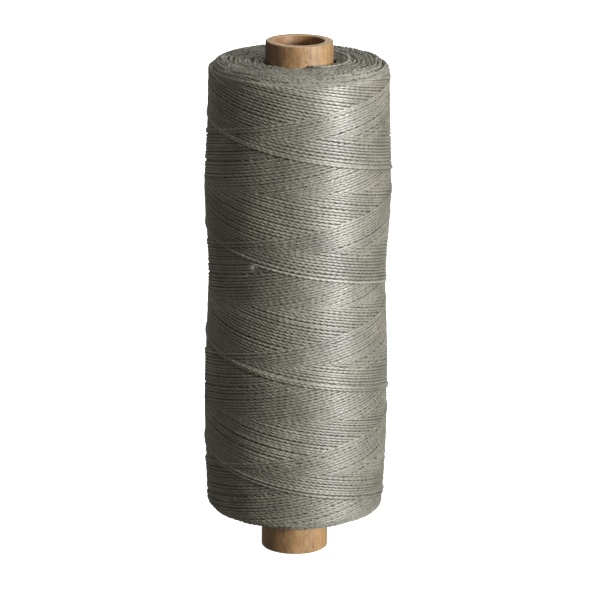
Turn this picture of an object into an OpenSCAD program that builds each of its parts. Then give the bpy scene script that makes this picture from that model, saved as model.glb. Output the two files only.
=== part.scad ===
// Waxed thread spool for leatherwork.
// A straight cardboard tube, rolled from glued plies of kraft board, carries a
// parallel-sided package of waxed two-ply thread, wound up and down in long
// crossing helices. The origin is the centre of the tube's foot and +Z runs up
// the tube's axis. All sizes are in millimetres.

/* [Tube] */
// Length of the cardboard tube
tube_length = 150; // [110:1:220]
// Diameter of the tube's bore, which a spindle goes through
bore_d = 14; // [10:0.5:25]
// Thickness of one board ply, five of which make the wall
ply_t = 0.52; // [0.4:0.02:0.8]
// Rounding of the wall's inner and outer edges at both rims
rim_round = 0.3; // [0.1:0.05:0.38]
// Width of the seam between the two edges of the face ply
seam_w = 0.2; // [0.2:0.05:0.6]
// Direction of the seam at half height, seen from above
seam_angle = -119; // [-180:1:180]
// Lean of the seam from the tube's axis
seam_lean = 1.4; // [0:0.1:2]

/* [Thread] */
// Diameter of the waxed thread
thread_d = 0.8; // [0.5:0.05:1.2]
// Angle between a crossing turn and the horizontal
winding_angle = 10.9; // [8:0.1:20]

/* [Package] */
// Bare tube below the package
lower_stub = 12.5; // [6:0.1:20]
// Bare tube above the package's crest
upper_stub = 5.2; // [3:0.1:20]
// How far the package's upper face sinks from its crest to the tube
upper_dish = 1.3; // [0:0.1:2.5]
// Mean diameter of the full package
package_d = 52.4; // [44:0.2:80]
// Rounding of the package's upper shoulder
upper_shoulder = 4.2; // [1:0.1:4.8]
// Rounding of the package's lower shoulder
lower_shoulder = 3.0; // [1:0.1:4]
// Depth of the slow swells along the package's side
swell = 0.54; // [0:0.02:0.8]
// Width of the starting band that traps the thread's first end
start_band = 7; // [4:0.5:10]

/* [Loose turns] */
// Direction where the slipped turn on the upper face begins
stray_from = -74; // [-180:1:180]
// Angle that the slipped turn runs through
stray_sweep = 120; // [60:4:300]
// How far out the slipped turn leans away from the tube
stray_lean = 3; // [0:0.2:4]
// Height above the foot of the thread's cut end
end_height = 90.9; // [40:0.1:90.9]
// Direction of the thread's cut end, seen from above
end_from = -118; // [-180:1:180]
// Angle that the thread's loose end runs through
end_sweep = 128; // [40:4:160]

/* [Hidden] */
$fn = 96;

bore_r = bore_d / 2;
tube_r = bore_r + 5 * ply_t;
package_r = package_d / 2;
package_lo = lower_stub;
package_hi = tube_length - upper_stub;
package_len = package_hi - package_lo;
build = package_r - tube_r;
inner_r = tube_r + 0.34 * build;
middle_r = tube_r + 0.68 * build;
start_t = 2 * thread_d;
seam_depth = 0.5 * ply_t;
side_steps = 44;
round_steps = 7;
dish_steps = 6;
kraft = "#b98f5f";
kraft_core = "#a89478";
thread_colour = "#b5b4a4";

// Radius of the n-th joint between plies, counted outwards from the bore.
function ply_r(n) = bore_r + n * ply_t;

// How far the package's side stands out of true, at a share t of its length.
// Two slow waves of unequal length are what uneven thread tension leaves.
function side_wave(t) =
    swell * (sin(360 * (2 * t + 0.75)) + 0.27 * sin(360 * (3.3 * t + 0.95)));

// Height of the upper face at radius r: sunk at the tube, level from inner_r out.
function upper_face(r) =
    package_hi - upper_dish * pow(max(0, inner_r - r) / (inner_r - tube_r), 2);

// Radius of the package's side at height z.
function side_r(z) = package_r + side_wave((z - package_lo) / package_len);

// Points round a convex shoulder, from angle a0 to a1 about a centre [r, z].
function shoulder(centre, rad, a0, a1) = [
    for (i = [0:round_steps])
        let (a = a0 + (a1 - a0) * i / round_steps)
            [centre[0] + rad * cos(a), centre[1] + rad * sin(a)]
];

// The outline of the outer winding's wall, from its hidden inner face outwards.
function outer_outline() =
    let (
        z0 = package_lo + lower_shoulder,
        z1 = package_hi - upper_shoulder
    )
    concat(
        [[middle_r, package_hi], [middle_r, package_lo]],
        shoulder([side_r(z0) - lower_shoulder, z0], lower_shoulder, -90, 0),
        [for (i = [1:side_steps - 1]) let (z = z0 + (z1 - z0) * i / side_steps) [side_r(z), z]],
        shoulder([side_r(z1) - upper_shoulder, z1], upper_shoulder, 0, 90)
    );

// A point at radius r, direction a and height z.
function helix(r, a, z) = [r * cos(a), r * sin(a), z];

// One corner of the strand's ring number i; the ring stands square to the path.
function strand_ring(path, i, rad, sides) =
    let (
        last = len(path) - 1,
        ahead = path[min(i + 1, last)],
        behind = path[max(i - 1, 0)],
        along = (ahead - behind) / norm(ahead - behind),
        out = [path[i][0], path[i][1], 0] / norm([path[i][0], path[i][1]]),
        square = cross(along, out) / norm(cross(along, out)),
        true_out = cross(square, along)
    )
    [for (k = [0:sides - 1])
        let (a = 360 * (k + 0.5) / sides)
            path[i] + rad * (cos(a) * true_out + sin(a) * square)];

// A round strand swept along a path, closed by a flat face at each end.
module strand(path, rad, sides = 8) {
    rings = len(path);
    points = [for (i = [0:rings - 1]) each strand_ring(path, i, rad, sides)];
    sides_faces = [for (i = [0:rings - 2]) for (k = [0:sides - 1])
        let (n = (k + 1) % sides)
            [i * sides + k, (i + 1) * sides + k, (i + 1) * sides + n, i * sides + n]];
    ends = [
        [for (k = [0:sides - 1]) k],
        [for (k = [sides - 1:-1:0]) (rings - 1) * sides + k]
    ];
    polyhedron(points = points, faces = concat(sides_faces, ends), convexity = 6);
}

// A plain ring of the tube's wall or of a hidden winding.
module ring(r_in, r_out, z0, z1) {
    rotate_extrude()
        polygon([[r_in, z0], [r_out, z0], [r_out, z1], [r_in, z1]]);
}

// A ring whose inner or outer edge is eased at both ends.
module eased_ring(r_in, r_out, z0, z1, ease, outside) {
    edge = outside ? r_out : r_in;
    way = outside ? -1 : 1;
    flat = outside ? r_in : r_out;
    rotate_extrude()
        polygon(concat(
            [[flat, z0]],
            [for (i = [0:4]) let (a = 90 * i / 4)
                [edge + way * ease * (1 - sin(a)), z0 + ease * (1 - cos(a))]],
            [for (i = [0:4]) let (a = 90 * i / 4)
                [edge + way * ease * (1 - cos(a)), z1 - ease * (1 - sin(a))]],
            [[flat, z1]]
        ));
}

// The innermost ply, whose smooth face is the bore.
module liner_ply() {
    color(kraft)
        eased_ring(ply_r(0), ply_r(1), 0, tube_length, rim_round, false);
}

// The three plies of plain board inside the wall.
module inner_core_ply() {
    color(kraft_core)
        ring(ply_r(1), ply_r(2), 0, tube_length);
}

module middle_core_ply() {
    color(kraft_core)
        ring(ply_r(2), ply_r(3), 0, tube_length);
}

module outer_core_ply() {
    color(kraft_core)
        ring(ply_r(3), ply_r(4), 0, tube_length);
}

// The outer ply, with the open seam between its two edges.
module face_ply() {
    color(kraft)
        difference() {
            eased_ring(ply_r(4), ply_r(5), 0, tube_length, rim_round, true);
            rotate([0, 0, seam_angle])
                translate([ply_r(5) + 1 - seam_depth, 0, tube_length / 2])
                    rotate([seam_lean, 0, 0])
                        cube([2, seam_w, tube_length + 10], center = true);
        }
}

// The close first turns, which trap the thread's starting end against the tube.
module starting_turns() {
    color(thread_colour)
        ring(tube_r, tube_r + start_t, package_lo + 6, package_lo + 6 + start_band);
}

// The first third of the winding, laid on the tube and over the starting turns.
module inner_winding() {
    color(thread_colour)
        difference() {
            rotate_extrude()
                polygon(concat(
                    [[tube_r, package_lo], [inner_r, package_lo]],
                    [for (i = [0:dish_steps])
                        let (r = inner_r + (tube_r - inner_r) * i / dish_steps)
                            [r, upper_face(r)]]
                ));
            translate([0, 0, package_lo + 6])
                cylinder(r = tube_r + start_t, h = start_band);
        }
}

// The second third of the winding.
module middle_winding() {
    color(thread_colour)
        ring(inner_r, middle_r, package_lo, package_hi);
}

// The last third, with the swelling side and the two rounded shoulders.
module outer_winding() {
    color(thread_colour)
        rotate_extrude()
            polygon(outer_outline());
}

// A turn that has slipped inwards on the upper face. It starts against the tube and leans outwards.
module slipped_turn() {
    count = 36;
    near = tube_r + thread_d / 2 + 0.05;
    path = [for (i = [0:count])
        let (
            t = i / count,
            a = stray_from + stray_sweep * t,
            r = near + stray_lean * (1 - exp(-t * stray_sweep / 10)) + 1.5 * t,
            z = upper_face(r) + thread_d / 2 + 0.1 + 0.5 * pow(1 - t, 4)
        )
            helix(r, a, z)];
    color(thread_colour)
        strand(path, thread_d / 2);
}

// The last stretch of the last stroke, down to the thread's cut end.
module finishing_end() {
    count = 44;
    path = [for (i = [0:count])
        let (
            t = i / count,
            a = end_from + end_sweep * t,
            z = end_height - tan(winding_angle) * package_r * (a - end_from) * PI / 180
        )
            helix(side_r(z) + thread_d / 2 + 0.03, a, z)];
    color(thread_colour)
        strand(path, thread_d / 2);
}

liner_ply();
inner_core_ply();
middle_core_ply();
outer_core_ply();
face_ply();
starting_turns();
inner_winding();
middle_winding();
outer_winding();
slipped_turn();
finishing_end();
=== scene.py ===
"""Waxed thread spool: a rolled cardboard tube with a cross-wound package of grey waxed thread.

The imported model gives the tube's plies and the envelopes of the winding. This script winds the
thread itself: every stroke is laid in order on the ones beneath it, the way a traverse winder lays
it, and what can be seen of it is made as real two-ply thread.
"""

import logging
import math
from dataclasses import dataclass, field
from enum import Enum

import bmesh
import bpy
import numpy as np
from bpy.types import ID, Curve, Material, Mesh, Node, NodeSocket, NodeTree, Object
from mathutils import Matrix, Vector


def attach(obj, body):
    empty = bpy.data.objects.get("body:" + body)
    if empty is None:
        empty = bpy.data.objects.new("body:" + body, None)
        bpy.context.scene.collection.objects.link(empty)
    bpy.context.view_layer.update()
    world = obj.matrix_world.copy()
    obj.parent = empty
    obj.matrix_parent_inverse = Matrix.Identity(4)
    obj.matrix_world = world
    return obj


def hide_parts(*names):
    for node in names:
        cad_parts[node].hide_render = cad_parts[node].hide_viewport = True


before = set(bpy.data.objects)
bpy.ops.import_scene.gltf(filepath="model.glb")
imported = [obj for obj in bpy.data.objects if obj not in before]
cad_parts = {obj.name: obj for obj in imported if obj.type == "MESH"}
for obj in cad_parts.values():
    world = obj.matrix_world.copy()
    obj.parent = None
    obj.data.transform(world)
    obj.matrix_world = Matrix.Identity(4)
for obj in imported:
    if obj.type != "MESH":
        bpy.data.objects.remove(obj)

logging.basicConfig(level=logging.INFO, format="%(message)s")
log = logging.getLogger("thread_spool")

MM = 0.001


# --- Colour and node helpers ---


def linear(hex_colour: str) -> tuple[float, float, float, float]:
    """Turn an sRGB hex colour into linear values.

    Args:
        hex_colour: six hex digits after a hash, such as "#b98f5f".

    Returns:
        Linear red, green and blue, and an alpha of 1.
    """
    digits = hex_colour.lstrip("#")
    channels = []
    for start in (0, 2, 4):
        value = int(digits[start:start + 2], 16) / 255
        low = value <= 0.04045
        channels.append(value / 12.92 if low else ((value + 0.055) / 1.055) ** 2.4)
    return (channels[0], channels[1], channels[2], 1.0)


def add_node(
    tree: NodeTree, kind: str, settings: dict | None = None, values: dict | None = None,
    links: dict | None = None,
) -> Node:
    """Add one node to a tree with its settings, socket values and incoming links.

    Args:
        tree: the node tree to add to.
        kind: the node's Blender type name, without the ShaderNode that all of them start with.
        settings: attributes to set on the node.
        values: default values by input socket name or index.
        links: output sockets, or nodes for their first outputs, by input socket name or index.

    Returns:
        The new node.
    """
    node = tree.nodes.new("ShaderNode" + kind)
    for name, value in (settings or {}).items():
        setattr(node, name, value)
    for name, value in (values or {}).items():
        node.inputs[name].default_value = value
    for name, source in (links or {}).items():
        socket = source.outputs[0] if isinstance(source, Node) else source
        tree.links.new(socket, node.inputs[name])
    return node


def set_ramp(node: Node, stops: list[tuple[float, str]]) -> None:
    """Give a colour ramp its stops.

    Args:
        node: the colour ramp node, as new.
        stops: position and sRGB hex colour of each stop, in order, two or more.
    """
    ramp = node.color_ramp
    for index, (position, colour) in enumerate(stops):
        element = ramp.elements[index] if index < 2 else ramp.elements.new(position)
        element.position = position
        element.color = linear(colour)


def new_material(name: str) -> tuple[Material, NodeTree, NodeSocket]:
    """Start a material with an empty tree that reads the piece's own coordinates.

    Args:
        name: the material's name.

    Returns:
        The material, its node tree and the Object coordinates.
    """
    material = bpy.data.materials.new(name)
    material.use_nodes = True
    tree = material.node_tree
    tree.nodes.clear()
    return material, tree, add_node(tree, "TexCoord").outputs["Object"]


def per_mm(size_mm: float) -> float:
    """Scale for a noise texture whose features are about this size in millimetres."""
    return 1.0 / (size_mm * MM)


# --- Finishes ---


@dataclass(frozen=True)
class WaxedThreadFinish:
    """Waxed linen-type thread: spun plies under a thin coat of wax, so a broad soft sheen."""

    name: str = "waxed_grey_thread"
    deep: str = "#4b493f"
    body: str = "#676558"
    bright: str = "#868374"
    roughness: float = 0.6
    gloss: float = 0.6
    wax: float = 1.0
    wax_roughness: float = 0.49
    wax_ior: float = 1.7
    wax_evens: float = 0.78
    top_mm: float = 144.8
    bottom_mm: float = 12.5
    end_lean: float = 4.0
    patch_mm: float = 9.0
    streak_mm: float = 1.1
    fibre_mm: float = 0.24
    fibre_deep_mm: float = 0.1

    def build(self) -> Material:
        """Make the thread's material.

        Returns:
            The material.
        """
        material, tree, place = new_material(self.name)
        patches, streaks, fibres = (
            add_node(
                tree, "TexNoise", values={"Scale": per_mm(size), "Detail": detail, "Roughness": rough},
                links={"Vector": place},
            )
            for size, detail, rough in (
                (self.patch_mm, 2.0, 0.5), (self.streak_mm, 4.0, 0.62), (self.fibre_mm, 2.0, 0.6),
            )
        )
        mixed = add_node(tree, "Mix", values={0: 0.55}, links={2: patches, 3: streaks})
        # Single fibres lie lighter and darker, which makes the thread look spun, not moulded.
        spun = add_node(tree, "Mix", values={0: 0.3}, links={2: mixed, 3: fibres})
        colour = add_node(tree, "ValToRGB", links={"Fac": spun})
        set_ramp(colour, [(0.36, self.deep), (0.5, self.body), (0.64, self.bright)])
        rough = add_node(
            tree, "MapRange",
            values={"From Min": 0.3, "From Max": 0.7, "To Min": self.roughness - 0.07,
                    "To Max": self.roughness + 0.08},
            links={"Value": streaks},
        )
        bump = add_node(
            tree, "Bump", values={"Strength": 0.55, "Distance": self.fibre_deep_mm * MM},
            links={"Height": fibres},
        )
        shader = add_node(
            tree, "BsdfPrincipled",
            values={"Sheen Weight": 0.12, "Sheen Roughness": 0.4, "Specular IOR Level": self.gloss,
                    "Coat Weight": self.wax, "Coat Roughness": self.wax_roughness,
                    "Coat IOR": self.wax_ior},
            links={"Base Color": colour, "Roughness": rough, "Normal": bump,
                   "Coat Normal": self.wax_normal(tree, place)},
        )
        add_node(tree, "OutputMaterial", links={"Surface": shader})
        return material

    def wax_normal(self, tree: NodeTree, place: NodeSocket) -> Node:
        """Even out the wax over the plies, so that it follows the package more than each thread.

        Args:
            tree: the material's node tree.
            place: the object's own coordinates.

        Returns:
            The node that gives the direction the wax faces.
        """
        parts = add_node(tree, "SeparateXYZ", links={"Vector": place})
        level = add_node(tree, "CombineXYZ", links={"X": parts.outputs["X"], "Y": parts.outputs["Y"]})
        outwards = add_node(tree, "VectorMath", {"operation": "NORMALIZE"}, links={0: level})
        # The direction turns up over the upper shoulder and down over the lower one.
        above, below = (
            add_node(
                tree, "MapRange",
                values={"From Min": start * MM, "From Max": end * MM, "To Max": lean},
                links={"Value": parts.outputs["Z"]},
            )
            for start, end, lean in (
                (self.top_mm - 3.5, self.top_mm - 0.6, self.end_lean),
                (self.bottom_mm + 2.6, self.bottom_mm + 0.6, -self.end_lean),
            )
        )
        lean = add_node(tree, "Math", {"operation": "ADD"}, links={0: above, 1: below})
        upright = add_node(tree, "CombineXYZ", links={"Z": lean})
        leaning = add_node(tree, "VectorMath", {"operation": "ADD"}, links={0: outwards, 1: upright})
        package = add_node(tree, "VectorMath", {"operation": "NORMALIZE"}, links={0: leaning})
        in_world = add_node(
            tree, "VectorTransform",
            {"vector_type": "NORMAL", "convert_from": "OBJECT", "convert_to": "WORLD"},
            links={"Vector": package},
        )
        own = add_node(tree, "NewGeometry").outputs["Normal"]
        both = add_node(
            tree, "Mix", {"data_type": "VECTOR"}, values={0: self.wax_evens}, links={4: own, 5: in_world},
        )
        return add_node(tree, "VectorMath", {"operation": "NORMALIZE"}, links={0: both.outputs[1]})


@dataclass(frozen=True)
class PackedThreadFinish:
    """Thread deep between the turns, painted darker: its colour is painted shade of the gaps between the
    turns.
    """

    name: str = "packed_thread_in_shade"
    dark: str = "#3f3c35"
    light: str = "#6f6b60"
    turn_mm: float = 0.857
    turns_per_round: int = 37

    def build(self) -> Material:
        """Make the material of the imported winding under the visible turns.

        Returns:
            The material.
        """
        material, tree, place = new_material(self.name)
        parts = add_node(tree, "SeparateXYZ", links={"Vector": place})
        angle = add_node(
            tree, "Math", {"operation": "ARCTAN2"}, links={0: parts.outputs["Y"], 1: parts.outputs["X"]},
        )
        # Each round of the helix rises by a whole number of turns, so the bands close on themselves.
        rise = -self.turns_per_round * self.turn_mm * MM / (2 * math.pi)
        helix = add_node(
            tree, "Math", {"operation": "MULTIPLY_ADD"}, values={1: rise},
            links={0: angle, 2: parts.outputs["Z"]},
        )
        level = add_node(tree, "CombineXYZ", links={"X": parts.outputs["X"], "Y": parts.outputs["Y"]})
        away = add_node(tree, "VectorMath", {"operation": "LENGTH"}, links={0: level})
        # The distance from the axis carries the bands on over the end faces.
        spiral = add_node(tree, "Math", {"operation": "ADD"}, links={0: helix, 1: away.outputs["Value"]})
        phase = add_node(
            tree, "Math", {"operation": "MULTIPLY"}, values={1: 2 * math.pi / (self.turn_mm * MM)},
            links={0: spiral},
        )
        wave = add_node(tree, "Math", {"operation": "SINE"}, links={0: phase})
        turns = add_node(
            tree, "MapRange", values={"From Min": -1.0, "From Max": 1.0}, links={"Value": wave},
        )
        # The ramp is painted shade: the body is dark all over, and darkest between the turns.
        colour = add_node(tree, "ValToRGB", links={"Fac": turns})
        set_ramp(colour, [(0.1, self.dark), (0.9, self.light)])
        bump = add_node(
            tree, "Bump", values={"Strength": 0.6, "Distance": 0.2 * MM}, links={"Height": turns},
        )
        shader = add_node(
            tree, "BsdfPrincipled",
            values={"Roughness": 0.8},
            links={"Base Color": colour, "Normal": bump},
        )
        add_node(tree, "OutputMaterial", links={"Surface": shader})
        return material


@dataclass(frozen=True)
class LooseFibreFinish:
    """Single spun fibres that stand off the wax: matt, and a little paler than the thread."""

    name: str = "loose_thread_fibre"
    dark: str = "#7b776c"
    light: str = "#9f9b8f"
    patch_mm: float = 2.5

    def build(self) -> Material:
        """Make the fibres' material.

        Returns:
            The material.
        """
        material, tree, place = new_material(self.name)
        patches = add_node(
            tree, "TexNoise", values={"Scale": per_mm(self.patch_mm), "Detail": 2.0},
            links={"Vector": place},
        )
        colour = add_node(tree, "ValToRGB", links={"Fac": patches})
        set_ramp(colour, [(0.35, self.dark), (0.65, self.light)])
        shader = add_node(
            tree, "BsdfPrincipled",
            values={"Roughness": 0.55},
            links={"Base Color": colour},
        )
        add_node(tree, "OutputMaterial", links={"Surface": shader})
        return material


@dataclass(frozen=True)
class KraftBoardFinish:
    """Kraft paper board: brown, matt and fibrous, lighter rubbed patches, paler cut edges."""

    name: str = "kraft_paper_board"
    dark: str = "#6a5031"
    body: str = "#856741"
    light: str = "#9d7e55"
    cut_dark: str = "#75593b"
    cut_light: str = "#b3976f"
    fleck: str = "#4a3320"
    mottle_mm: float = 5.0
    grain_mm: float = 0.5
    furrow_mm: float = 0.55
    fibre_mm: float = 0.14
    layer_mm: float = 0.26
    fleck_mm: float = 3.4
    roughness: float = 0.55
    gloss: float = 0.65
    seam_angle: float = -119.0
    seam_lean: float = 1.4
    half_height_mm: float = 75.0
    # Colour and strength of the painted shade past the seam.
    painted_shade: str = "#9c7a60"
    painted_shade_strength: float = 0.0

    def build(self) -> Material:
        """Make the board's material.

        Returns:
            The material.
        """
        material, tree, place = new_material(self.name)
        parts = add_node(tree, "SeparateXYZ", links={"Vector": place})
        # The paper's fibres run along the tube, so it looks brushed upwards.
        upwards, drawn_out = (
            add_node(tree, "Mapping", values={"Scale": (1.0, 1.0, share)}, links={"Vector": place})
            for share in (0.12, 0.25)
        )
        mottle, grain, furrows, fibres = (
            add_node(
                tree, "TexNoise", values={"Scale": per_mm(size), "Detail": detail, "Roughness": rough},
                links={"Vector": source},
            )
            for size, detail, rough, source in (
                (self.mottle_mm, 3.0, 0.55, place), (self.grain_mm, 4.0, 0.65, place),
                (self.furrow_mm, 3.0, 0.6, upwards), (self.fibre_mm, 3.0, 0.6, drawn_out),
            )
        )
        mixed = add_node(tree, "Mix", values={0: 0.5}, links={2: mottle, 3: grain})
        brushed = add_node(tree, "Mix", values={0: 0.4}, links={2: mixed, 3: furrows})
        face = add_node(tree, "ValToRGB", links={"Fac": brushed})
        set_ramp(face, [(0.38, self.dark), (0.5, self.body), (0.62, self.light)])
        both = add_node(
            tree, "Mix", {"data_type": "RGBA"},
            links={0: self.edge_share(tree), 6: face, 7: self.cut_edge(tree, parts, grain)},
        )
        # Painted shade: the board is darkened past the seam, on the side turned from the key light.
        shaded = add_node(
            tree, "Mix", {"data_type": "RGBA", "blend_type": "MULTIPLY"},
            values={7: linear(self.painted_shade)},
            links={0: self.painted_shade_share(tree, place, parts), 6: both.outputs[2]},
        )
        # A few dark flecks of bark and ink, as recycled board has.
        flecks = add_node(
            tree, "TexVoronoi", values={"Scale": per_mm(self.fleck_mm)},
            links={"Vector": place},
        )
        speck = add_node(
            tree, "MapRange",
            values={"From Min": 0.06, "From Max": 0.13, "To Min": 0.8, "To Max": 0.0},
            links={"Value": flecks},
        )
        coloured = add_node(
            tree, "Mix", {"data_type": "RGBA"}, values={7: linear(self.fleck)},
            links={0: speck, 6: shaded.outputs[2]},
        )
        bump = add_node(
            tree, "Bump", values={"Strength": 0.4, "Distance": 0.08 * MM}, links={"Height": fibres},
        )
        shader = add_node(
            tree, "BsdfPrincipled",
            values={"Roughness": self.roughness, "Specular IOR Level": self.gloss},
            links={"Base Color": coloured.outputs[2], "Normal": bump},
        )
        add_node(tree, "OutputMaterial", links={"Surface": shader})
        return material

    def cut_edge(self, tree: NodeTree, parts: Node, grain: Node) -> Node:
        """Colour the cut edge at the rims, where the board's layers show as rings round the axis.

        Args:
            tree: the material's node tree.
            parts: the object's own coordinates, apart.
            grain: the board's fine grain.

        Returns:
            The node that gives the colour.
        """
        # The texture turns 20 radians in each unit, so a ring holds two layers, one dark and one light.
        flat = add_node(tree, "CombineXYZ", links={"X": parts.outputs["X"], "Y": parts.outputs["Y"]})
        layers = add_node(
            tree, "TexWave", {"wave_type": "RINGS", "rings_direction": "Z"},
            values={"Scale": per_mm(self.layer_mm) / 20 * math.pi, "Distortion": 2.2, "Detail": 3.0,
                    "Detail Scale": 3.0},
            links={"Vector": flat},
        )
        mixed = add_node(
            tree, "Mix", values={0: 0.55},
            links={2: layers.outputs["Fac"], 3: grain},
        )
        cut = add_node(tree, "ValToRGB", links={"Fac": mixed})
        set_ramp(cut, [(0.25, self.cut_dark), (0.75, self.cut_light)])
        return cut

    def edge_share(self, tree: NodeTree) -> Node:
        """Find where the surface lies level, as it does on the rims only.

        Args:
            tree: the material's node tree.

        Returns:
            The node that gives 1 on the rims and 0 elsewhere.
        """
        facing = add_node(
            tree, "SeparateXYZ", links={"Vector": add_node(tree, "NewGeometry").outputs["Normal"]},
        )
        level = add_node(tree, "Math", {"operation": "ABSOLUTE"}, links={0: facing.outputs["Z"]})
        return add_node(
            tree, "MapRange", values={"From Min": 0.45, "From Max": 0.85}, links={"Value": level},
        )

    def painted_shade_share(self, tree: NodeTree, place: NodeSocket, parts: Node) -> Node:
        """Find where shade is painted on the board: past the seam, on the side turned from the key light,
        the more towards the upper end.

        Args:
            tree: the material's node tree.
            place: the object's own coordinates.
            parts: the same, apart.

        Returns:
            The node that gives the painted shade's strength.
        """
        turned = add_node(
            tree, "VectorRotate", {"rotation_type": "Z_AXIS", "invert": True},
            values={"Angle": math.radians(self.seam_angle)}, links={"Vector": place},
        )
        beyond = add_node(tree, "SeparateXYZ", links={"Vector": turned})
        # The seam leans, so its place round the tube moves with the height.
        slope = math.tan(math.radians(self.seam_lean))
        lean = add_node(
            tree, "Math", {"operation": "MULTIPLY_ADD"},
            values={1: slope, 2: -slope * self.half_height_mm * MM}, links={0: parts.outputs["Z"]},
        )
        from_seam = add_node(tree, "Math", {"operation": "ADD"}, links={0: beyond.outputs["Y"], 1: lean})
        past_seam = add_node(
            tree, "MapRange", values={"From Min": 6.0 * MM, "From Max": -4.0 * MM},
            links={"Value": from_seam},
        )
        near_side = add_node(
            tree, "MapRange", values={"From Min": -6.0 * MM, "From Max": 3.0 * MM},
            links={"Value": beyond.outputs["X"]},
        )
        painted_shade = add_node(tree, "Math", {"operation": "MULTIPLY"}, links={0: past_seam, 1: near_side})
        upper_end = add_node(
            tree, "MapRange",
            values={"From Min": 40 * MM, "From Max": 110 * MM, "To Min": 0.3 * self.painted_shade_strength,
                    "To Max": self.painted_shade_strength},
            links={"Value": parts.outputs["Z"]},
        )
        return add_node(tree, "Math", {"operation": "MULTIPLY"}, links={0: painted_shade, 1: upper_end})


@dataclass(frozen=True)
class StudioPaperFinish:
    """White studio paper under the spool: matt, and bright enough to run out to white."""

    name: str = "white_studio_paper"
    colour: str = "#f4f4f4"
    glow: float = 0.97
    tooth_mm: float = 3.0

    def build(self) -> Material:
        """Make the floor's material.

        Returns:
            The material.
        """
        material, tree, place = new_material(self.name)
        tooth = add_node(
            tree, "TexNoise", values={"Scale": per_mm(self.tooth_mm), "Detail": 2.0},
            links={"Vector": place},
        )
        bump = add_node(
            tree, "Bump", values={"Strength": 0.05, "Distance": 0.1 * MM}, links={"Height": tooth},
        )
        shader = add_node(
            tree, "BsdfPrincipled",
            values={"Base Color": linear(self.colour), "Roughness": 0.9,
                    "Emission Color": (1.0, 1.0, 1.0, 1.0), "Emission Strength": self.glow},
            links={"Normal": bump},
        )
        add_node(tree, "OutputMaterial", links={"Surface": shader})
        return material


# --- Winding the package ---

# Rows of the surface grid that a thread can reach, counted from the row below its middle.
BESIDE = (-1, 0, 1, 2)


def round_axis(r: np.ndarray, angle: np.ndarray, z: np.ndarray) -> np.ndarray:
    """Turn distances from the axis, angles in radians and heights into places, one row each."""
    return np.stack([r * np.cos(angle), r * np.sin(angle), z], axis=1)


@dataclass
class Stroke:
    """One stroke of the traverse: a helix of about four turns, laid on what was there before.

    Attributes:
        first: number of the stroke's first step round the package, counted from the start.
        z: height of the thread's middle at each step, in mm.
        r: distance of the thread's middle from the axis at each step, in mm.
    """

    first: int
    z: np.ndarray
    r: np.ndarray

    def steps(self) -> np.ndarray:
        """Number of each step round the package."""
        return self.first + np.arange(len(self.z))


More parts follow.
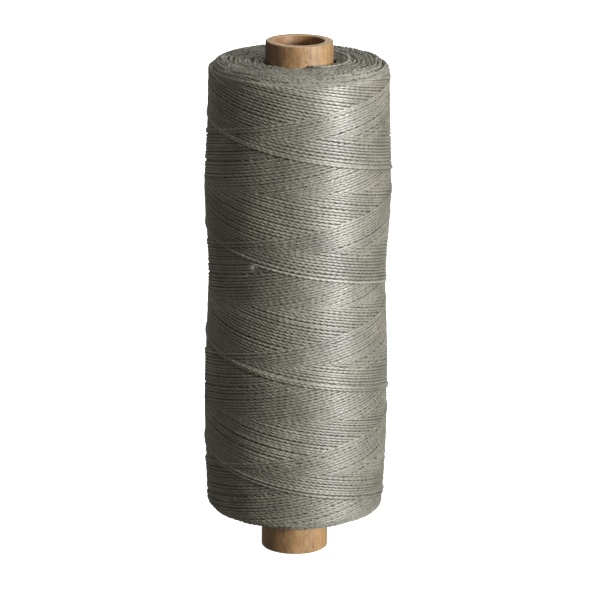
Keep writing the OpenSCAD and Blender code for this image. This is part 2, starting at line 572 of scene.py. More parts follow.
@dataclass
class Winder:
    """A traverse winder, which fills the tube with crossing strokes of thread, in mm and degrees."""

    tube_r: float = 9.6
    mean_r: float = 20.0
    full_r: float = 26.2
    low: float = 12.5
    high: float = 144.8
    dish: float = 1.3
    dish_r: float = 15.24
    thread: float = 0.8
    turn_gap: float = 0.86
    turns_per_stroke: int = 4
    last_turn_back: float = 28.5
    upper_shoulder: float = 4.2
    lower_shoulder: float = 3.0
    bend_early: float = 0.2
    bend_share: float = 0.95
    reversal: float = 20.0
    double_strokes: int = 555
    growth_power: float = 0.9
    uneven: float = 0.07
    skip_share: float = 0.05
    skip: float = 0.4
    overrun: float = 0.12
    wander: tuple[tuple[float, float], ...] = ((0.06, 0.61), (0.05, 1.37), (0.03, 3.1))
    columns: int = 1440
    row: float = 0.2
    floor_z: float = 9.0
    rows: int = 700
    squash: float = 0.7
    least_lift: float = 0.3
    sag_steps: tuple[int, ...] = (40, 24, 12, 6, 3)
    stiff_steps: int = 3
    press_mm: float = 1.8
    press_share: float = 0.92
    press_every: int = 14
    pressed_strokes: int = 200
    bedded_strokes: int = 240
    trusted: float = 2.6
    sunk: float = 0.45
    proud: float = 0.3
    end_from: float = -118.0
    end_sweep: float = 128.0
    end_height: float = 90.9
    end_slack: float = 5.0
    seed: int = 41
    strokes: list[Stroke] = field(default_factory=list)

    def __post_init__(self) -> None:
        """Set up the surface that the thread is laid on."""
        self.surface = np.full((self.columns, self.rows), self.tube_r, dtype=np.float32)
        self.level = self.surface.copy()
        self.rng = np.random.default_rng(self.seed)
        self.step_angle = 2 * math.pi / self.columns

    def bed_in(self, heights: np.ndarray, level: np.ndarray) -> np.ndarray:
        """Squeeze heights down to little above the package's level, as tight thread does."""
        above = heights - level
        return np.where(above > 0, level + self.proud * np.tanh(above / self.proud), heights)

    def lift(self, rows_on: int, over: np.ndarray) -> np.ndarray:
        """Height of the thread's surface above its middle, in a row to one side of it.

        Args:
            rows_on: the row, counted from the one below the thread's middle.
            over: how far the middle is above the row below it, in rows.

        Returns:
            The heights in mm, very low where the thread isn't.
        """
        away = np.abs(rows_on - over) * self.row
        reach = 0.45 * self.thread
        inside = reach * reach - away * away
        return np.where(inside > 0, self.squash * np.sqrt(np.maximum(inside, 0)), -50.0)

    def ends_at(self, r: float) -> tuple[float, float]:
        """Heights between which the thread's middle runs when the package has grown to r.

        Args:
            r: distance from the axis, in mm.

        Returns:
            The lowest and the highest height in mm.
        """
        half = self.thread / 2
        bends = []
        for shoulder in (self.upper_shoulder, self.lower_shoulder):
            past = max(0.0, r + self.bend_early - (self.full_r - shoulder))
            past = min(past, shoulder * self.bend_share)
            bends.append(shoulder - math.sqrt(shoulder**2 - past**2))
        inside = max(0.0, self.dish_r - r) / (self.dish_r - self.tube_r)
        return self.low + half + bends[1], self.high - half - bends[0] - self.dish * inside**2

    def plan(self) -> list[tuple[float, float]]:
        """Work out where every stroke ends, so that the last one turns back where it should.

        Returns:
            Angle in degrees and height in mm of each turn-back, at the bottom first.
        """
        count = self.double_strokes
        growth = np.linspace(0, 1, count) ** self.growth_power
        radii = self.tube_r + self.thread / 2 + growth * (self.full_r - self.tube_r - self.thread)
        ends = [self.ends_at(r) for r in radii]
        pitches = np.array([(high - low) / self.turns_per_stroke for low, high in ends])
        shift = 360 * self.turn_gap / pitches
        uneven = 1 + self.uneven * self.rng.standard_normal(count)
        uneven += np.where(self.rng.random(count) < self.skip_share, self.skip, 0.0)
        shift *= np.clip(uneven, 0.7, 2.0)
        double = 720 * self.turns_per_stroke
        tops = np.empty(count)
        tops[-1] = self.last_turn_back
        for index in range(count - 2, -1, -1):
            tops[index] = tops[index + 1] - double + shift[index]
        tops += double * (count + 1)
        turn_backs = []
        for (low, high), top, moved in zip(ends, tops, shift):
            ease = (high - low) / (360 * self.turns_per_stroke) * self.reversal
            short = np.abs(self.rng.normal(0, self.overrun, 2))
            turn_backs.append((top - double / 2 + moved / 2, low - ease + short[0]))
            turn_backs.append((top, high + ease - short[1]))
        turn_backs.append((tops[-1] + double / 2, ends[-1][0]))
        return turn_backs

    def path(self, start: tuple[float, float], end: tuple[float, float]) -> Stroke:
        """Lay out one stroke's angle and height, before it rests on anything.

        Args:
            start: the turn-back where the stroke begins.
            end: the turn-back where it ends.

        Returns:
            The stroke, with no radius yet.
        """
        degree = 360 / self.columns
        first = math.ceil(start[0] / degree)
        last = math.floor(end[0] / degree)
        angle = np.arange(first, last + 1) * degree
        slope = (end[1] - start[1]) / (end[0] - start[0])
        lower = start[1] + slope * np.sqrt((angle - start[0]) ** 2 + self.reversal**2)
        upper = end[1] - slope * np.sqrt((end[0] - angle) ** 2 + self.reversal**2)
        z = np.where(angle - start[0] < end[0] - angle, lower, upper)
        phase = self.rng.uniform(0, 2 * math.pi, 3)
        turn = np.radians(angle)
        slow, middling, quick = (
            size * np.sin(rate * turn + begin) for (size, rate), begin in zip(self.wander, phase)
        )
        z = z + (slow + middling) + quick
        return Stroke(first, z.astype(np.float32), np.zeros(len(z), np.float32))

    def rows_at(self, heights: np.ndarray, bottom: float) -> tuple[np.ndarray, np.ndarray]:
        """Find the grid row below each height.

        Args:
            heights: heights in mm.
            bottom: height of the grid's first row, in mm.

        Returns:
            The rows, and how far above its row each height is, in rows.
        """
        height = (heights - bottom) / self.row
        below = np.floor(height).astype(np.int64)
        return below, height - below

    def cells(self, stroke: Stroke) -> tuple[np.ndarray, np.ndarray, np.ndarray]:
        """Column of each step of a stroke, the row below it, and how far above that row it is."""
        return stroke.steps() % self.columns, *self.rows_at(stroke.z, self.floor_z)

    def rest(self, stroke: Stroke) -> None:
        """Let a stroke down on the surface under tension, and add it to the surface.

        Args:
            stroke: the stroke, which gets its radius.
        """
        column, below, over = self.cells(stroke)
        least = self.tube_r + self.least_lift
        r = np.full(len(stroke.z), least, dtype=np.float64)
        for rows_on in BESIDE:
            r = np.maximum(r, self.surface[column, below + rows_on] + self.lift(rows_on, over))
        for reach in self.sag_steps:
            sag = r[reach:-reach] * (1 - math.cos(reach * self.step_angle))
            chord = 0.5 * (r[:-2 * reach] + r[2 * reach:]) - sag
            r[reach:-reach] = np.maximum(r[reach:-reach], chord)
        stiff = 2 * self.stiff_steps + 1
        padded = np.pad(r, self.stiff_steps, mode="edge")
        r = np.convolve(padded, np.ones(stiff) / stiff, mode="valid")
        late = len(self.strokes) > 2 * self.double_strokes - self.bedded_strokes
        near_end = (stroke.z < self.low + self.trusted) | (stroke.z > self.high - self.trusted)
        bedded = self.bed_in(r, self.level[column, below] + 0.2)
        r = np.where(near_end | late, np.maximum(bedded, least), r)
        stroke.r = r.astype(np.float32)
        for rows_on in BESIDE:
            cell = (column, below + rows_on)
            top = (r + self.lift(rows_on, over)).astype(np.float32)
            self.surface[cell] = np.maximum(self.surface[cell], top)

    def slow_part(self, heights: np.ndarray, weights: np.ndarray) -> np.ndarray:
        """Smooth heights over the package's side, leaving out the cells with no weight.

        Args:
            heights: one value for each cell.
            weights: 1 where a cell counts and 0 where it doesn't.

        Returns:
            The smoothed heights.
        """
        around = self.press_mm / (self.step_angle * self.mean_r)
        up = self.press_mm / self.row
        turns = np.fft.fftfreq(self.columns)[:, None]
        rises = np.fft.rfftfreq(self.rows)[None, :]
        keep = np.exp(-2 * math.pi**2 * ((turns * around) ** 2 + (rises * up) ** 2))
        top, under = (
            np.fft.irfft2(np.fft.rfft2(values) * keep, s=heights.shape)
            for values in (heights * weights, weights)
        )
        return top / np.maximum(under, 0.02)

    def with_shoulders(self, level: np.ndarray, heights: np.ndarray) -> np.ndarray:
        """Carry the package's level on over its rounded shoulders.

        Args:
            level: the smoothed surface, which holds good away from the ends.
            heights: height of each row, in mm.

        Returns:
            The level with both shoulders.
        """
        last = int((self.high - self.trusted - self.floor_z) / self.row)
        first = int((self.low + self.trusted - self.floor_z) / self.row) + 1
        ends = ((self.upper_shoulder, heights - (self.high - self.upper_shoulder), last, 1),
                (self.lower_shoulder, (self.low + self.lower_shoulder) - heights, first, -1))
        level = level.copy()
        for shoulder, past, edge, side in ends:
            past = np.clip(past, 0, shoulder * 0.97)
            limit = self.full_r - self.sunk - self.proud - shoulder + np.sqrt(shoulder**2 - past**2)
            beyond = np.arange(self.rows) * side > edge * side
            level[:, beyond] = np.minimum(level[:, edge:edge + 1], limit[None, beyond])
        return level

    def press(self) -> None:
        """Let the thread's tension press out ridges, as the turns bed into the ones beneath."""
        heights = self.floor_z + self.row * np.arange(self.rows)
        counts = (heights > self.low + self.trusted) & (heights < self.high - self.trusted)
        counts = counts.astype(np.float64)
        weights = np.repeat(counts[None, :], self.columns, axis=0)
        level = float((self.surface * weights).sum() / weights.sum())
        change = -self.press_share * (self.slow_part(self.surface - level, weights))
        inside = (heights > self.low - 1) & (heights < self.high + 1)
        change = (change * inside[None, :]).astype(np.float32)
        self.surface += change
        self.level = self.with_shoulders(self.slow_part(self.surface, weights), heights)
        late = len(self.strokes) >= 2 * self.double_strokes - self.bedded_strokes
        bedded = (counts[None, :] == 0) | late
        self.surface = np.where(bedded, self.bed_in(self.surface, self.level), self.surface)
        self.surface = self.surface.astype(np.float32)
        for stroke in self.strokes[-self.pressed_strokes:]:
            column, below, _ = self.cells(stroke)
            r = stroke.r + change[column, below]
            flat = self.bed_in(r, self.level[column, below] - 0.1)
            stroke.r = np.where((counts[below] == 0) | late, flat, r).astype(np.float32)

    def lay_end(self) -> Stroke:
        """Lay the thread's cut end, just ahead of the last stroke down.

        Returns:
            The stretch of thread from its cut end round to the package's far side.
        """
        degree = 360 / self.columns
        count = round(self.end_sweep / degree)
        run = np.arange(count) * self.step_angle
        slope = (self.high - self.low - self.end_slack) / self.turns_per_stroke / (2 * math.pi)
        z = (self.end_height - slope * run).astype(np.float32)
        end = Stroke(round(self.end_from / degree), z, np.zeros(count, np.float32))
        self.rest(end)
        return end

    def wind(self) -> None:
        """Wind the whole package, stroke after stroke."""
        turn_backs = self.plan()
        for number, (start, end) in enumerate(zip(turn_backs[:-1], turn_backs[1:]), 1):
            stroke = self.path(start, end)
            self.rest(stroke)
            self.strokes.append(stroke)
            if number % self.press_every == 0:
                self.press()
        self.press()
        log.info("package wound: %d strokes", len(self.strokes))


@dataclass
class SideProfile:
    """The slow swells along the package's side, which uneven tension leaves."""

    tube_r: float = 9.6
    full_r: float = 26.2
    low: float = 12.5
    length: float = 132.3
    swell_mm: float = 0.54
    scale: float = 1.0

    def swell(self, r: np.ndarray, z: np.ndarray) -> np.ndarray:
        """Move thread out or in with the swells, the outer thread the most.

        Args:
            r: distances from the axis, in mm.
            z: heights, in mm.

        Returns:
            The new distances in mm.
        """
        share = (z - self.low) / self.length
        wave = np.sin(2 * math.pi * (2 * share + 0.75))
        wave = wave + 0.27 * np.sin(2 * math.pi * (3.3 * share + 0.95))
        depth = (r - self.tube_r) / (self.full_r - self.tube_r)
        return self.tube_r + (r - self.tube_r) * self.scale + self.swell_mm * wave * depth**2


@dataclass
class Run:
    """A stretch of thread that shows, as points along its middle.

    Attributes:
        points: places in mm, one row each.
        start: length of thread before the first point, in mm.
        lay_mm: length in which the two plies turn round each other once.
    """

    points: np.ndarray
    start: float = 0.0
    lay_mm: float = 3.5

    def twist(self) -> np.ndarray:
        """Work out how far the plies have turned at each point.

        Returns:
            The turns in radians.
        """
        lengths = np.linalg.norm(np.diff(self.points, axis=0), axis=1)
        along = self.start + np.concatenate([[0.0], np.cumsum(lengths)])
        return np.mod(along * 2 * math.pi / self.lay_mm, 2 * math.pi)


class End(Enum):
    """An end of the package, as the way that it faces along the axis."""

    UPPER = 1
    LOWER = -1


@dataclass
class Sight:
    """Finds which stretches of the wound thread can be seen, from the side or from an end."""

    winder: Winder
    profile: SideProfile
    ring_mm: float = 0.585
    spare: int = 9
    end_depth: float = 5.0
    radial_rows: int = 96
    side_slack: float = 0.05
    end_slack: float = 0.12

    def side_mask(self, stroke: Stroke) -> np.ndarray:
        """Find which steps of a stroke show from the side.

        Args:
            stroke: a rested stroke.

        Returns:
            True where the thread reaches the surface.
        """
        column, below, over = self.winder.cells(stroke)
        seen = np.zeros(len(stroke.z), dtype=bool)
        for rows_on in BESIDE:
            own = stroke.r + self.winder.lift(rows_on, over)
            seen |= own >= self.winder.surface[column, below + rows_on] - self.side_slack
        return seen

    def reaches(self, stroke: Stroke, end: End) -> list[tuple[np.ndarray, tuple, np.ndarray]]:
        """Find how far a stroke reaches out at an end of the package.

        Args:
            stroke: a rested stroke.
            end: the end that is looked at.

        Returns:
            For each row beside the thread: its steps near the end, their cells of column and
            radial row, and their reach in mm along the way that the end faces.
        """
        winder = self.winder
        edge = winder.high if end is End.UPPER else winder.low
        near = np.nonzero(np.abs(stroke.z - edge) < self.end_depth)[0]
        column = stroke.steps()[near] % winder.columns
        below, over = winder.rows_at(stroke.r[near], winder.tube_r)
        found = []
        for rows_on in BESIDE:
            cell = (column, np.clip(below + rows_on, 0, self.radial_rows - 1))
            found.append((near, cell, end.value * stroke.z[near] + winder.lift(rows_on, over)))
        return found

    def end_map(self, end: End) -> np.ndarray:
        """Map how far the thread reaches out at an end.

        Args:
            end: the end that is looked at.

        Returns:
            The reach in mm, by column and radial row.
        """
        reach = np.full((self.winder.columns, self.radial_rows), -1e3, dtype=np.float32)
        for stroke in self.winder.strokes:
            for _, cell, top in self.reaches(stroke, end):
                np.maximum.at(reach, cell, top.astype(np.float32))
        return reach

    def end_mask(self, stroke: Stroke, end: End, reach: np.ndarray) -> np.ndarray:
        """Find which steps of a stroke show from an end.

        Args:
            stroke: a rested stroke.
            end: the end that is looked at.
            reach: that end's map.

        Returns:
            True where the thread shows.
        """
        seen = np.zeros(len(stroke.z), dtype=bool)
        for near, cell, own in self.reaches(stroke, end):
            seen[near] |= own >= reach[cell] - self.end_slack
        return seen

    def runs(self, stroke: Stroke, seen: np.ndarray) -> list[Run]:
        """Cut a stroke into the runs that show, with a little left on at each end.

        Args:
            stroke: a rested stroke.
            seen: the steps that show.

        Returns:
            The runs.
        """
        window = np.ones(2 * self.spare + 1, np.int32)
        wide = np.convolve(seen.astype(np.int32), window, mode="same") > 0
        edges = np.flatnonzero(np.diff(np.concatenate([[False], wide, [False]]).astype(np.int8)))
        step = self.winder.step_angle
        found = []
        for begin, end in zip(edges[0::2], edges[1::2]):
            r_mid = float(stroke.r[(begin + end) // 2])
            stride = max(2, round(self.ring_mm / (r_mid * step)))
            if end - begin < 3 * stride:
                continue
            picks = np.arange(begin, end, stride)
            r = self.profile.swell(stroke.r[picks], stroke.z[picks])
            points = round_axis(r, (stroke.first + picks) * step, stroke.z[picks])
            found.append(Run(points, (stroke.first + begin) * step * r_mid))
        return found


# --- Thread pieces ---


def link_new(name: str, data: ID) -> Object:
    """Put a new object in the scene.

    Args:
        name: the object's name.
        data: its mesh, curve, camera or light.

    Returns:
        The object.
    """
    item = bpy.data.objects.new(name, data)
    bpy.context.scene.collection.objects.link(item)
    return item


def unit(way: np.ndarray) -> np.ndarray:
    """Bring a direction to length 1."""
    return way / np.linalg.norm(way)


def add_piece(name: str, mesh: Mesh, finish: Material, smooth: bool = False) -> Object:
    """Put a mesh in the scene with its material.

    Args:
        name: the piece's name.
        mesh: the mesh, with no material yet.
        finish: the material.
        smooth: shade all of it smooth, cut ends too.

    Returns:
        The piece.
    """
    mesh.name = name
    mesh.materials.append(finish)
    if smooth:
        mesh.polygons.foreach_set("use_smooth", np.ones(len(mesh.polygons), dtype=bool))
    return link_new(name, mesh)


def new_curve(name: str, trails: list[np.ndarray], point_key: str, values: list) -> Curve:
    """Start a curve with a line of points for each trail.

    Args:
        name: the name of the piece that it is for.
        trails: places in mm, one array for each line.
        point_key: a setting that each point has for itself.
        values: its values, one array for each line.

    Returns:
        The curve.
    """
    curve = bpy.data.curves.new(name + "_path", "CURVE")
    curve.dimensions = "3D"
    curve.use_fill_caps = True
    for trail, own in zip(trails, values):
        spline = curve.splines.new("POLY")
        spline.points.add(len(trail) - 1)
        places = np.ones((len(trail), 4), dtype=np.float32)
        places[:, :3] = trail * MM
        spline.points.foreach_set("co", places.ravel())
        spline.points.foreach_set(point_key, own.astype(np.float32))
    return curve


def mesh_of(curve: Curve) -> Mesh:
    """Turn a swept curve into a mesh, and remove the curve.

    Args:
        curve: the curve, with its cross-section set.

    Returns:
        The mesh, with no material.
    """
    path = link_new(curve.name, curve)
    bpy.context.view_layer.update()
    graph = bpy.context.evaluated_depsgraph_get()
    mesh = bpy.data.meshes.new_from_object(path.evaluated_get(graph), depsgraph=graph)
    mesh.materials.clear()
    bpy.data.objects.remove(path)
    bpy.data.curves.remove(curve)
    return mesh


@dataclass
class ThreadMaker:
    """Makes runs of two-ply thread from a turned cross-section swept along them."""

    half_width: float = 0.475
    flat_half: float = 0.26
    half_thick: float = 0.275

    def section(self) -> Object:
        """Make the outline of two plies side by side.

        Returns:
            A closed flat curve, to be removed when the thread is made.
        """
        w, x, y = self.half_width, self.flat_half, self.half_thick
        corners = [(w, 0), (x, y), (-x, y), (-w, 0), (-x, -y), (x, -y)]
        curve = bpy.data.curves.new("two_plies", "CURVE")
        curve.dimensions = "2D"
        spline = curve.splines.new("POLY")
        spline.points.add(len(corners) - 1)
        for point, (x, y) in zip(spline.points, corners):
            point.co = (x * MM, y * MM, 0, 1)
        spline.use_cyclic_u = True
        return link_new("two_plies", curve)

    def sweep(self, name: str, runs: list[Run], material: Material) -> Object:
        """Sweep the cross-section along every run, turning it with the ply twist.

        Args:
            name: the piece's name.
            runs: the runs of thread.
            material: the thread's material.

        Returns:
            The piece, as a mesh.
        """
        outline = self.section()
        curve = new_curve(name, [run.points for run in runs], "tilt", [run.twist() for run in runs])
        curve.twist_mode = "Z_UP"
        curve.bevel_mode = "OBJECT"
        curve.bevel_object = outline
        mesh = mesh_of(curve)
        bpy.data.objects.remove(outline)
        return add_piece(name, mesh, material, smooth=True)


@dataclass
class Fuzz:
    """Fibre ends that stand off the thread."""

    finish: Material
    half_thick: float = 0.02
    seed: int = 7
    thin_end: float = 0.45
    curl: float = 0.42
    root_mm: float = 0.36
    scatter: float = 0.35
    least_mm: float = 0.3
    long_share: float = 0.2
    # Shape and scale of the long and the short fibres' lengths, in mm.
    long_shape: tuple[float, float] = (3.0, 0.4)
    short_shape: tuple[float, float] = (2.2, 0.28)
    # How much a frayed fibre points back round the package, outwards and up.
    fray_way: tuple[float, float, float] = (0.35, 0.4, -0.75)
    fray_mm: float = 0.16

    def __post_init__(self) -> None:
        """Start the fibres' own random numbers."""
        self.rng = np.random.default_rng(self.seed)

    def fibre(self, root: np.ndarray, out: np.ndarray, length: float, steps: int = 4) -> np.ndarray:
        """Grow one curling fibre.

        Args:
            root: where it leaves the thread, in mm.
            out: the way it starts.
            length: its length in mm.
            steps: how many straight steps it takes.

        Returns:
            Its points, one row each.
        """
        heading = unit(out)
        place = np.array(root, dtype=float)
        trail = [place]
        for _ in range(steps):
            heading = unit(heading + self.curl * self.rng.standard_normal(3))
            place = place + heading * length / steps
            trail.append(place)
        return np.array(trail)

    def gather(self, name: str, trails: list[np.ndarray]) -> Object:
        """Make fibres from their trails.

        Args:
            name: the piece's name.
            trails: one array of points for each fibre, in mm.

        Returns:
            The piece, as a mesh.
        """
        thinning = [np.linspace(1.0, self.thin_end, len(trail), dtype=np.float32) for trail in trails]
        curve = new_curve(name, trails, "radius", thinning)
        curve.bevel_depth = self.half_thick * MM
        curve.bevel_resolution = 0
        return add_piece(name, mesh_of(curve), self.finish)

    def over_runs(self, name: str, runs: list[Run], count: int) -> Object:
        """Scatter fibres over the thread that shows.

        Args:
            name: the piece's name.
            runs: the runs of thread.
            count: how many fibres to scatter.

        Returns:
            The piece.
        """
        lengths = np.array([len(run.points) for run in runs], dtype=float)
        trails = []
        for pick in self.rng.choice(len(runs), size=count, p=lengths / lengths.sum()):
            points = runs[pick].points
            at = self.rng.integers(0, len(points) - 1)
            along = unit(points[at + 1] - points[at])
            out = unit(np.array([points[at][0], points[at][1], 0.0]))
            lean = self.rng.uniform(0.25, 1.0)
            way = lean * out + (1.2 - lean) * along * self.rng.choice([-1, 1])
            way = way + self.scatter * self.rng.standard_normal(3)
            shape = self.long_shape if self.rng.random() < self.long_share else self.short_shape
            length = self.least_mm + float(self.rng.gamma(*shape))
            trails.append(self.fibre(points[at] + self.root_mm * out, way, length))
        return self.gather(name, trails)

    def tuft(self, name: str, root: np.ndarray, count: int, longest: float) -> Object:
        """Fray a cut end of thread.

        Args:
            name: the piece's name.
            root: the middle of the cut end, in mm.
            count: how many fibres to fray.
            longest: length of the longest fibre, in mm.

        Returns:
            The piece.
        """
        out = unit(np.array([root[0], root[1], 0.0]))
        back, outwards, up = self.fray_way
        lean = back * np.cross(out, (0.0, 0.0, 1.0)) + outwards * out + np.array((0.0, 0.0, up))
        trails = []
        for _ in range(count):
            way = lean + self.scatter * self.rng.standard_normal(3)
            start = root + self.fray_mm * self.rng.standard_normal(3)
            trails.append(self.fibre(start, way, float(self.rng.uniform(0.3, 1.0)) * longest))
        return self.gather(name, trails)


@dataclass
class Package:
    """The wound thread: what shows of every stroke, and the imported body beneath."""

    thread_finish: Material
    fresh_finish: Material
    packed_finish: Material
    fibre_finish: Material
    rings_per_piece: int = 14500
    proud_mm: float = 0.5
    side_strokes: int = 420
    side_rows: tuple[int, int] = (110, 600)
    fibres: int = 3400
    body_under: float = 0.4
    body_columns: int = 240
    body_every: int = 3
    body_side_in: float = 3.0
    body_face_in: float = 1.4
    body_clear: float = 0.02
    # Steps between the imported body's faces and its side: how far in, and how far up or down.
    lower_bevel: tuple[tuple[float, float], ...] = ((2.6, 0.0), (0.8, 0.7))
    upper_bevel: tuple[tuple[float, float], ...] = ((1.1, 0.8), (3.4, 0.0))
    winder: Winder = field(default_factory=Winder)
    profile: SideProfile = field(default_factory=SideProfile)
    maker: ThreadMaker = field(default_factory=ThreadMaker)

    def build(self) -> None:
        """Wind the thread and make all the package's pieces."""
        self.winder.wind()
        # The rows well away from both ends say how far the package has grown.
        side = self.winder.surface[:, slice(*self.side_rows)]
        grown = float(side.mean()) + self.proud_mm - self.profile.tube_r
        self.profile.scale = (self.profile.full_r - self.profile.tube_r) / grown
        log.info("package is scaled by %.3f", self.profile.scale)
        sight = Sight(self.winder, self.profile)
        last = self.winder.lay_end()
        last_runs = sight.runs(last, np.ones(len(last.z), dtype=bool))
        maps = {end: sight.end_map(end) for end in End}
        side_runs: list[Run] = []
        end_runs: dict[End, list[Run]] = {end: [] for end in End}
        buried = len(self.winder.strokes) - self.side_strokes
        for index, stroke in enumerate(self.winder.strokes):
            side = sight.side_mask(stroke) if index > buried else np.zeros(len(stroke.z), bool)
            side_runs += sight.runs(stroke, side)
            for end, reach in maps.items():
                end_runs[end] += sight.runs(stroke, sight.end_mask(stroke, end, reach) & ~side)
        self.sweep_in_parts("side_turns", side_runs, "outer_winding")
        self.sweep_in_parts("upper_end_turns", end_runs[End.UPPER], "middle_winding")
        self.sweep_in_parts("lower_end_turns", end_runs[End.LOWER], "inner_winding")
        self.place(self.packed_body("packed_winding"), "inner_winding", "middle_winding", "outer_winding")
        slipped = self.slipped()
        self.place(self.maker.sweep("finishing_thread", last_runs, self.fresh_finish), "finishing_end")
        self.place(self.maker.sweep("slipped_thread", [slipped], self.thread_finish), "slipped_turn")
        starting = self.maker.sweep("starting_thread", [self.starting()], self.thread_finish)
        self.place(starting, "starting_turns")
        fuzz = Fuzz(self.fibre_finish)
        loose = fuzz.over_runs("loose_fibres", side_runs + end_runs[End.UPPER], self.fibres)
        self.place(loose, "outer_winding")
        fray = Fuzz(self.fibre_finish, half_thick=0.034, seed=19)
        frayed = fray.tuft("frayed_tip", last_runs[0].points[0], count=80, longest=2.8)
        self.place(frayed, "finishing_end")
        # The tuft takes the packed thread's dark colour, the painted shade of the gaps.
        knot = Fuzz(self.packed_finish, half_thick=0.05, seed=11)
        knotted = knot.tuft("slipped_tip", slipped.points[0], count=40, longest=0.9)
        self.place(knotted, "slipped_turn")

    def place(self, piece: Object, *nodes: str) -> None:
        """Let a piece ride with the spool and stand for its nodes.

        Args:
            piece: the piece.
            nodes: the nodes that it stands for.
        """
        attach(piece, "root")
        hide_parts(*nodes)
        log.info("%s: %d faces", piece.name, len(piece.data.polygons))

    def slipped(self) -> Run:
        """Lay out the turn that has slipped inwards and lies against the tube on the upper face.

        Returns:
            The run, from its knotted start.
        """
        winder = self.winder
        start, sweep, against_tube, lean, drift = -74, 120, 0.47, 3.0, 1.5
        on_face, lifted, settled = 0.25, 0.35, 0.5
        share = np.linspace(0, 1, 60)
        r = winder.tube_r + against_tube + lean * (1 - np.exp(-12 * share)) + drift * share
        sink = np.maximum(0, winder.dish_r - r) / (winder.dish_r - winder.tube_r)
        z = winder.high - winder.dish * sink**2 + on_face + lifted * (1 - share) ** 4
        z = z - settled * (1 - np.exp(-6 * share))
        return Run(round_axis(r, np.radians(start + sweep * share), z))

    def starting(self) -> Run:
        """Lay out the close first turns round the tube, in two layers.

        Returns:
            The run.
        """
        turns, points, under, over, band_start, band = 7.5, 1600, 0.42, 1.15, 6.45, 6.1
        angle = np.linspace(0, 4 * math.pi * turns, points)
        there_and_back = np.linspace(-1, 1, points)
        r = self.winder.tube_r + np.where(there_and_back < 0, under, over)
        z = self.winder.low + band_start + band * np.abs(there_and_back)
        return Run(round_axis(r, angle, z))

    def sweep_in_parts(self, name: str, runs: list[Run], node: str) -> None:
        """Make runs of thread as several pieces, none of them too heavy.

        Args:
            name: the pieces' name, which gets a number.
            runs: the runs.
            node: the node they take their place from.
        """
        rings = sum(len(run.points) for run in runs)
        parts = max(1, math.ceil(rings / self.rings_per_piece))
        share = rings / parts
        groups: list[list[Run]] = [[] for _ in range(parts)]
        laid = 0
        for run in runs:
            groups[min(parts - 1, int(laid / share))].append(run)
            laid += len(run.points)
        for number, group in enumerate(groups, 1):
            self.place(self.maker.sweep(f"{name}_{number}", group, self.thread_finish), node)

    def packed_body(self, name: str) -> Object:
        """Make the solid body of packed thread that closes the view between the turns.

        Its side follows the wound surface a little way down, so that it fills the gaps only.

        Args:
            name: the piece's name.

        Returns:
            The piece.
        """
        winder = self.winder
        around = self.body_columns
        lowest, highest = winder.low + self.body_side_in, winder.high - self.body_side_in
        heights = np.arange(lowest, highest, self.body_every * winder.row)
        rows = np.round((heights - winder.floor_z) / winder.row).astype(int)
        picks = np.arange(around) * (winder.columns // around)
        side = self.profile.swell(winder.level[np.ix_(picks, rows)], heights[None, :]) - self.body_under
        low, high = winder.low + self.body_face_in, winder.high - self.body_face_in
        inner = np.full(around, winder.tube_r + self.body_clear)
        rings = [(inner, low)]
        rings += [(side[:, 0] - inwards, low + up) for inwards, up in self.lower_bevel]
        rings += [(side[:, index], float(z)) for index, z in enumerate(heights)]
        rings += [(side[:, -1] - inwards, high - down) for inwards, down in self.upper_bevel]
        rings += [(np.full(around, winder.dish_r), high), (inner, high - winder.dish), (inner, low)]
        # A flat grid is rolled into the shell, and merging its meeting edges closes it both ways.
        shell = bmesh.new()
        bmesh.ops.create_grid(shell, x_segments=around, y_segments=len(rings) - 1, size=1.0)
        for vert in shell.verts:
            column = round((vert.co.x + 1) / 2 * around) % around
            r, z = rings[round((vert.co.y + 1) / 2 * (len(rings) - 1))]
            turn = column * 2 * math.pi / around
            vert.co = Vector((r[column] * math.cos(turn), r[column] * math.sin(turn), z)) * MM
        bmesh.ops.remove_doubles(shell, verts=shell.verts, dist=0.005 * MM)
        bmesh.ops.recalc_face_normals(shell, faces=shell.faces)
        mesh = bpy.data.meshes.new(name)
        shell.to_mesh(mesh)
        shell.free()
        # The body wears the packed thread's colour, which is painted shade for the gaps.
        return add_piece(name, mesh, self.packed_finish, smooth=True)


# --- Tube ---


@dataclass
class Tube:
    """The rolled cardboard tube, whose plies keep their own solids and get their finish."""

    face_finish: Material
    liner_finish: Material
    core_finish: Material

    def dress(self) -> None:
        """Give every ply its material."""
        finishes = {"face_ply": self.face_finish, "liner_ply": self.liner_finish}
        for place in ("inner", "middle", "outer"):
            finishes[place + "_core_ply"] = self.core_finish
        for name, finish in finishes.items():
            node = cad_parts[name]
            node.data.materials.clear()
            node.data.materials.append(finish)
            log.info("%s dressed in %s", name, finish.name)


# --- Studio ---


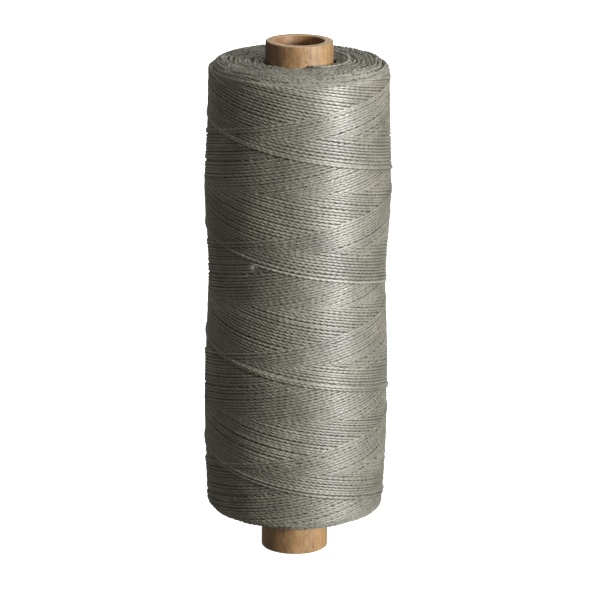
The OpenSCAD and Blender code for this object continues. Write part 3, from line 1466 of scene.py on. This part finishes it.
@dataclass
class Studio:
    """Camera, soft lights and the white paper that the spool stands on.

    Places and sizes are in metres, angles in degrees, and the lens and the sensor in mm.
    """

    distance: float = 0.98
    elevation: float = 16.0
    lens: float = 204.9
    sensor: float = 36.0
    roll: float = 0.6
    aim: tuple[float, float, float] = (0.0009, 0.0, 0.0741)
    middle: tuple[float, float, float] = (0.0, 0.0, 0.075)
    paper_half: float = 4.0
    room_colour: tuple[float, float, float, float] = (1.0, 0.95, 0.86, 1.0)
    room_light: float = 0.26

    def camera(self) -> None:
        """Stand the camera in front of the spool."""
        data = bpy.data.cameras.new("camera")
        data.lens = self.lens
        data.sensor_width = self.sensor
        data.clip_start = 0.05
        data.clip_end = 20.0
        camera = link_new("camera", data)
        up = math.radians(self.elevation)
        away = Vector((0, -math.cos(up), math.sin(up))) * self.distance
        turn = (-away).to_track_quat("-Z", "Y").to_matrix().to_4x4()
        rolled = turn @ Matrix.Rotation(math.radians(self.roll), 4, "Z")
        camera.matrix_world = Matrix.Translation(Vector(self.aim) + away) @ rolled
        bpy.context.scene.camera = camera

    def light(
        self, name: str, azimuth: float, height: float, reach: float, size: float, power: float,
    ) -> None:
        """Add one soft area light that looks at the middle of the spool.

        Args:
            name: the light's name.
            azimuth: direction in degrees, 0 at the camera's side, to the right as it grows.
            height: height above the spool's middle, in metres.
            reach: distance from the axis, in metres.
            size: side of the light, in metres.
            power: watts.
        """
        data = bpy.data.lights.new(name, "AREA")
        data.shape = "DISK"
        data.size = size
        data.energy = power
        lamp = link_new(name, data)
        turn = math.radians(azimuth)
        away = Vector((math.sin(turn) * reach, -math.cos(turn) * reach, height))
        aim = (-away).to_track_quat("-Z", "Y").to_matrix().to_4x4()
        lamp.matrix_world = Matrix.Translation(Vector(self.middle) + away) @ aim

    def floor(self) -> None:
        """Lay the white paper."""
        sheet = bmesh.new()
        bmesh.ops.create_grid(sheet, x_segments=2, y_segments=2, size=self.paper_half)
        mesh = bpy.data.meshes.new("studio_floor")
        sheet.to_mesh(mesh)
        sheet.free()
        floor = add_piece("studio_floor", mesh, StudioPaperFinish().build())
        # The paper is seen and takes shadow, but throws no light back on the spool's dark side.
        floor.visible_diffuse = False
        floor.visible_glossy = False

    def world(self) -> None:
        """Set the dim even light of the room."""
        world = bpy.data.worlds.new("room")
        world.use_nodes = True
        background = world.node_tree.nodes["Background"]
        background.inputs["Color"].default_value = self.room_colour
        background.inputs["Strength"].default_value = self.room_light
        bpy.context.scene.world = world
        bpy.context.scene.view_settings.view_transform = "Standard"

    def build(self) -> None:
        """Set up the whole studio."""
        self.world()
        self.floor()
        self.camera()
        self.light("key_light", azimuth=51, height=0.27, reach=1.1, size=0.22, power=25.5)
        self.light("overhead_light", azimuth=10, height=1.2, reach=0.25, size=1.0, power=7)
        # A weak light from straight behind shows the spool's far side and leaves its front alone.
        self.light("back_light", azimuth=180, height=0.0, reach=1.1, size=0.3, power=7)


# --- Main ---


def main() -> None:
    """Build the spool and the studio."""
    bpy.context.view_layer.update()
    thread = WaxedThreadFinish().build()
    packed = PackedThreadFinish().build()
    # Only the face ply gets the painted shade past the seam.
    kraft = KraftBoardFinish(painted_shade_strength=1.0).build()
    core = KraftBoardFinish(
        name="core_paper_board", dark="#8f7f69", body="#a89478", light="#b9a78c",
    ).build()
    liner = KraftBoardFinish(
        name="kraft_liner_board", dark="#5c3f22", body="#73522f", light="#87653d",
    ).build()
    fresh = WaxedThreadFinish(
        name="waxed_grey_thread_fresh", deep="#6f6c60", body="#848074", bright="#989487",
    ).build()
    fibre = LooseFibreFinish().build()
    Tube(kraft, liner, core).dress()
    Package(thread, fresh, packed, fibre).build()
    Studio().build()


if __name__ == "__main__":
    main()
